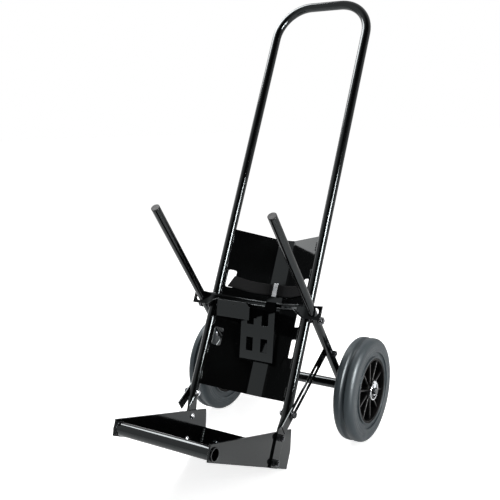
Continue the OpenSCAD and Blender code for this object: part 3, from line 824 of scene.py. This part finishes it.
# %% Rings on the tyres
AXLE_BACK = 0.1445
AXLE_UP = 0.125
WHEEL_MIDDLE = 0.2049
BEAD_RADIUS = 0.0785
TYRE_RADIUS = 0.125
RINGS = [(0.00, 0.6), (0.38, 0.6), (0.41, 0.2), (0.44, 0.2), (0.47, 0.6), (0.57, 0.6), (0.59, 1.0),
         (0.68, 1.0), (0.71, 0.6), (1.00, 0.6)]
rubber, tread, dull = open_material("grey_rubber")
tyre_place = place(tread, "ShaderNodeTexCoord")
tyre_split = place(tread, "ShaderNodeSeparateXYZ")
join(tread, tyre_place.outputs["Object"], tyre_split.inputs["Vector"])


def from_axle(tree, split_place):
    behind = sums(tree, "SUBTRACT", split_place.outputs["Y"], AXLE_BACK)
    above = sums(tree, "SUBTRACT", split_place.outputs["Z"], AXLE_UP)
    behind_squared = sums(tree, "MULTIPLY", behind, behind)
    above_squared = sums(tree, "MULTIPLY", above, above)
    return sums(tree, "SQRT", sums(tree, "ADD", behind_squared, above_squared), 0.0)


out_from_axle = from_axle(tread, tyre_split)
side_share = place(tread, "ShaderNodeMapRange", From_Min=BEAD_RADIUS, From_Max=TYRE_RADIUS)
join(tread, out_from_axle, side_share.inputs["Value"])
rings_of_side = place(tread, "ShaderNodeValToRGB")
ramp = rings_of_side.color_ramp.elements
while len(ramp) < len(RINGS):
    ramp.new(0.5)
for stop, (share, height) in zip(ramp, RINGS):
    stop.position = share
    stop.color = (height, height, height, 1.0)
join(tread, side_share.outputs["Result"], rings_of_side.inputs["Fac"])
print("tyres: axle at", AXLE_BACK, AXLE_UP, "stops along the ramp:", len(ramp))

# %% [markdown]
# The skin of the rubber is dull and finely grained. A channel runs round the tread, and its colour is darker
# there as painted shade. The distance from the middle of the wheel tells where it is.

# %% Grey rubber
CHANNEL_FLOOR = 0.0045
CHANNEL_EDGE = 0.0075
# painted shade: the colour of the channel round the tread, darker than the rubber
CHANNEL_PAINTED_SHADE = (0.014, 0.022, 0.028, 1.0)
RUBBER_TONES = ((0.040, 0.053, 0.061), (0.053, 0.068, 0.078))
RUBBER_MIRROR = (0.90, 0.97, 1.0, 1.0)
RING_DEPTH = 0.0012
GRAIN_SHARE = 0.10
dull.inputs["IOR"].default_value = 1.48
dull.inputs["Specular Tint"].default_value = RUBBER_MIRROR
grain = sums(tread, "MULTIPLY", mottle(tread, 900.0, 4.0), GRAIN_SHARE)
rubber_height = sums(tread, "ADD", rings_of_side.outputs["Color"], grain)
rubber_tone = two_tones(tread, mottle(tread, 24.0, 5.0), *RUBBER_TONES)
from_frame = sums(tread, "ABSOLUTE", tyre_split.outputs["X"], 0.0)
from_tread_middle = sums(tread, "ABSOLUTE", sums(tread, "SUBTRACT", from_frame, WHEEL_MIDDLE), 0.0)
channel = place(tread, "ShaderNodeMapRange", From_Min=CHANNEL_FLOOR, From_Max=CHANNEL_EDGE)
join(tread, from_tread_middle, channel.inputs["Value"])
# painted shade: the channel of the tread is coloured darker than the rest of the rubber
shaded = place(tread, "ShaderNodeMix")
shaded.data_type = "RGBA"
shaded.inputs["A"].default_value = CHANNEL_PAINTED_SHADE
join(tread, channel.outputs["Result"], shaded.inputs["Factor"])
join(tread, rubber_tone, shaded.inputs["B"])
join(tread, shaded.outputs["Result"], dull.inputs["Base Color"])
join(tread, between(tread, mottle(tread, 60.0, 4.0), 0.42, 0.52), dull.inputs["Roughness"])
skin(tread, dull, rubber_height, RING_DEPTH, 0.9, 0.0015)
dress(["tyre_left", "tyre_right"], rubber)
print("channel of the tread:", 2000.0 * CHANNEL_FLOOR, "mm wide at its floor")

# %% [markdown]
# The rims are moulded black nylon with a fine spark-eroded grain, and the plugs in the tips of the legs are
# a harder plastic. Both are the same kind of finish with other numbers, so one helper makes both.


# %% Moulded plastics
def moulded(name, dark, light, rough, grain_scale, grain_depth):
    finish, tree, shader = open_material(name)
    shader.inputs["IOR"].default_value = 1.5
    join(tree, two_tones(tree, mottle(tree, 30.0, 4.0), dark, light), shader.inputs["Base Color"])
    join(tree, between(tree, mottle(tree, 90.0, 3.0), *rough), shader.inputs["Roughness"])
    skin(tree, shader, mottle(tree, grain_scale, 3.0), grain_depth, 0.35, 0.0010)
    return finish, tree, shader


NYLON_TONES = ((0.003, 0.003, 0.003), (0.006, 0.006, 0.006))
CAP_TONES = ((0.004, 0.004, 0.005), (0.007, 0.007, 0.008))
CAP_GLOSS = 0.2
nylon, rim_tree, rim_shader = moulded("black_nylon", *NYLON_TONES, (0.30, 0.42), 1300.0, 0.0001)
cap_plastic, _, cap_shader = moulded("cap_plastic", *CAP_TONES, (0.42, 0.55), 800.0, 0.00005)
cap_shader.inputs["Specular IOR Level"].default_value = CAP_GLOSS
dress(["leg_cap_left", "leg_cap_right"], cap_plastic)
dress(["rim_left", "rim_right"], nylon)
print("plastic parts: 4")

# %% [markdown]
# In the photograph the outer edges of the ribs shine and the web behind them stays dark. One gloss for the
# whole rim would lose the ribs, so the distances from the axle and from the middle of the wheel find the
# edges of the ribs, and only those get gloss.

# %% Ribs of the rims
RIB_END = 0.0725
RIM_INSIDE = 0.0740
RIB_FROM = 0.014
RIB_FACE = 0.0185
WEB_GLOSS = 0.05
RIB_GLOSS = 0.55
rim_place = place(rim_tree, "ShaderNodeTexCoord")
rim_split = place(rim_tree, "ShaderNodeSeparateXYZ")
join(rim_tree, rim_place.outputs["Object"], rim_split.inputs["Vector"])
rim_across = sums(rim_tree, "ABSOLUTE", rim_split.outputs["X"], 0.0)
from_web = sums(rim_tree, "ABSOLUTE", sums(rim_tree, "SUBTRACT", rim_across, WHEEL_MIDDLE), 0.0)
rim_out = from_axle(rim_tree, rim_split)
on_ribs = place(rim_tree, "ShaderNodeMapRange", From_Min=RIM_INSIDE, From_Max=RIB_END)
join(rim_tree, rim_out, on_ribs.inputs["Value"])
near_face = place(rim_tree, "ShaderNodeMapRange", From_Min=RIB_FROM, From_Max=RIB_FACE)
join(rim_tree, from_web, near_face.inputs["Value"])
rib_edges = sums(rim_tree, "MULTIPLY", on_ribs.outputs["Result"], near_face.outputs["Result"])
polish = place(rim_tree, "ShaderNodeMapRange", To_Min=WEB_GLOSS, To_Max=RIB_GLOSS)
join(rim_tree, rib_edges, polish.inputs["Value"])
join(rim_tree, polish.outputs["Result"], rim_shader.inputs["Specular IOR Level"])
print("gloss from", WEB_GLOSS, "on the web to", RIB_GLOSS, "on the ribs")

# %% [markdown]
# A weld is a row of small overlapping pools of metal, each frozen as the next was laid. It could be drawn
# as bump, but a bead stands proud of the corner that it fills, so here it is modelled: a round section is
# swept along the joint, and its radius swells and falls once for every pool. A bead that doesn't close on
# itself tapers at both ends.

# %% Weld bead
POOL_PITCH = 6.0
NARROW_SHARE = 0.58
END_TAPER = 2.2
TIP_SIZE = 0.08
BEAD_STEP = 0.0008
BEAD_SIDES = 10


def weld_bead(name, line, radius, body):
    path = spaced(line, BEAD_STEP)
    bead = bmesh.new()
    total = sum((b - a).length for a, b in zip(path, path[1:]))
    closed = (path[0] - path[-1]).length < 1e-6
    travelled = 0.0
    rings = []
    for index, point in enumerate(path):
        before = path[max(0, index - 1)]
        after = path[min(len(path) - 1, index + 1)]
        along = (after - before).normalized()
        side = along.orthogonal().normalized()
        up = along.cross(side)
        if index:
            travelled += (point - path[index - 1]).length
        pool = abs(math.sin(math.pi * travelled * 1000.0 / POOL_PITCH))
        end_gap = min(travelled, total - travelled) * 1000.0
        taper = 1.0 if closed else math.sqrt(min(1.0, TIP_SIZE + end_gap / END_TAPER))
        reach = radius / 1000.0 * (NARROW_SHARE + (1.0 - NARROW_SHARE) * pool) * taper
        ring = []
        for k in range(BEAD_SIDES):
            turn = 2.0 * math.pi * k / BEAD_SIDES
            ring.append(bead.verts.new(point + (side * math.cos(turn) + up * math.sin(turn)) * reach))
        rings.append(ring)
    for ring, following in zip(rings, rings[1:]):
        for k in range(BEAD_SIDES):
            n = (k + 1) % BEAD_SIDES
            quad = bead.faces.new((ring[k], ring[n], following[n], following[k]))
            quad.smooth = True
    bead.faces.new(rings[0])
    bead.faces.new(list(reversed(rings[-1])))
    bmesh.ops.recalc_face_normals(bead, faces=bead.faces)
    mesh = bpy.data.meshes.new(name)
    bead.to_mesh(mesh)
    bead.free()
    mesh.materials.append(paint)
    made = bpy.data.objects.new(name, mesh)
    scene.collection.objects.link(made)
    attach(made, body)


print("one pool every", POOL_PITCH, "mm")

# %% [markdown]
# Short stitches fix the back plate to the rails, in front and behind. A full bead would pull the thin plate
# out of shape as it cools, so a welder leaves gaps.

# %% Stitches on the back plate
STITCHES = [165.0, 228.0, 299.0, 371.0, 440.0, 505.0]
STITCH_SIZE = 2.7
HALF_STITCH = 11.0
PLATE_FACES = (("front", 114.2, -2.0), ("back", 114.4, 2.7))
for hand, side in (("left", -1.0), ("right", 1.0)):
    for number, middle in enumerate(STITCHES, 1):
        for face, out, back in PLATE_FACES:
            stitch = [on_frame(side * out, back, middle + end) for end in (-HALF_STITCH, HALF_STITCH)]
            weld_bead(f"plate_weld_{face}_{hand}_{number}", stitch, STITCH_SIZE, "frame")
print("stitches on the back plate:", 4 * len(STITCHES))

# %% [markdown]
# The platform is welded inside its corners: down both ends of the back wall, in short runs along the floor,
# and round the front tube where it goes through the side plates.

# %% Platform welds
WALL_BEAD = 2.6
FLOOR_BEAD = 1.8
TUBE_BEAD = 1.5
SIDE_INSIDE = 114.2
WALL_FRONT = 63.7
WALL_SPAN = (7.0, 44.5)
FLOOR_TOP = 5.2
FLOOR_RUNS = [(-214.0, -188.0), (-140.0, -114.0), (-66.0, -40.0), (24.0, 50.0)]
TUBE_BACK = -253.0
TUBE_UP = 16.5
TUBE_WELD_OUT = 114.4
TUBE_WELD_RADIUS = 14.4
ROUND_STEPS = 48
for hand, side in (("left", -1.0), ("right", 1.0)):
    wall_line = [on_frame(side * SIDE_INSIDE, WALL_FRONT, up) for up in WALL_SPAN]
    weld_bead(f"wall_weld_{hand}", wall_line, WALL_BEAD, "frame")
    for number, run in enumerate(FLOOR_RUNS, 1):
        floor_line = [on_frame(side * SIDE_INSIDE, back, FLOOR_TOP) for back in run]
        weld_bead(f"floor_weld_{hand}_{number}", floor_line, FLOOR_BEAD, "frame")
    tube_ring = []
    for step in range(ROUND_STEPS + 1):
        turn = 2.0 * math.pi * step / ROUND_STEPS
        back = TUBE_BACK + TUBE_WELD_RADIUS * math.cos(turn)
        tube_ring.append(on_frame(side * TUBE_WELD_OUT, back, TUBE_UP + TUBE_WELD_RADIUS * math.sin(turn)))
    weld_bead(f"tube_weld_{hand}", tube_ring, TUBE_BEAD, "frame")
print("welds on the platform:", 2 * (len(FLOOR_RUNS) + 2))

# %% [markdown]
# The axle tube is welded to both legs along the saddle that the round leg leaves on the round tube. Each
# point of the saddle lies on the round of the leg, and the round of the tube tells how far up the leg it is.

# %% Axle welds
LEG_WAY = Vector((0.0, -0.5635, 0.8261))
LEG_FACE = Vector((0.0, 0.8261, 0.5635))
AXLE_BEAD = 1.7
LEG_OUT = 151.6
SADDLE_RADIUS = 10.4
AXLE_TUBE_RADIUS = 12.5
SADDLE_PROUD = 0.6
for hand, side in (("left", -1.0), ("right", 1.0)):
    saddle = []
    for step in range(ROUND_STEPS + 1):
        turn = 2.0 * math.pi * step / ROUND_STEPS
        spread = SADDLE_RADIUS * math.sin(turn)
        along_leg = math.sqrt(AXLE_TUBE_RADIUS ** 2 - spread ** 2) + SADDLE_PROUD
        spot = LEG_FACE * spread + LEG_WAY * along_leg
        spot.x = side * LEG_OUT + SADDLE_RADIUS * math.cos(turn)
        saddle.append(Vector((0.0, AXLE_BACK, AXLE_UP)) + spot / 1000.0)
    weld_bead(f"axle_weld_{hand}", saddle, AXLE_BEAD, "undercarriage")
print("welds on the axle tube: 2")
